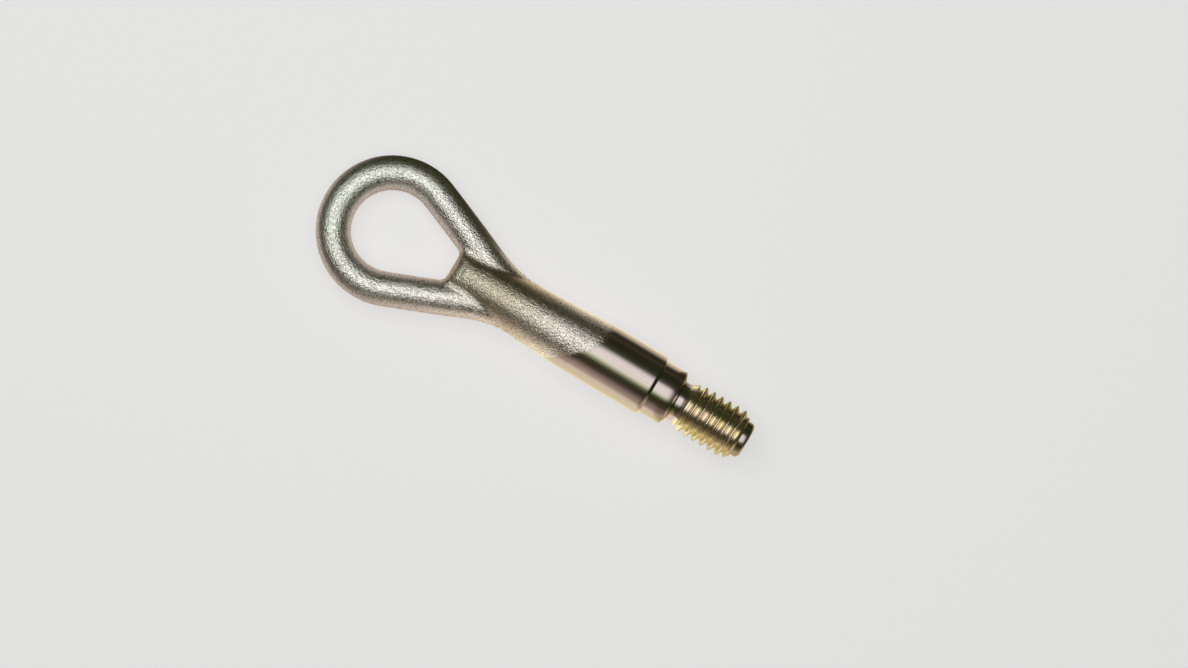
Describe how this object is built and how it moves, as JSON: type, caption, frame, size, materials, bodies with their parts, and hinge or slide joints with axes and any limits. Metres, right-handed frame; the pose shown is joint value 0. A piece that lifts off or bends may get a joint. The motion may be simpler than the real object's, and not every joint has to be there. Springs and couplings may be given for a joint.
{
  "type": "tow eye",
  "caption": "Forged steel tow eye: a teardrop ring runs into a round neck and a turned shank with a locating collar and a left-hand threaded end.",
  "frame": {"origin": "on the axis of the turned shank, where the collar starts at the foot of the shank's chamfer", "axes": "+X along the axis from the eye to the thread tip, +Z square to the plane of the eye"},
  "size_m": [0.1627, 0.051, 0.0216],
  "materials": {
    "plated_steel": "yellow passivated zinc plating, grainy on the forged skin and smooth on the turned end"
  },
  "bodies": {
    "root": {"tow_eye": "plated_steel"}
  },
  "joints": []
}
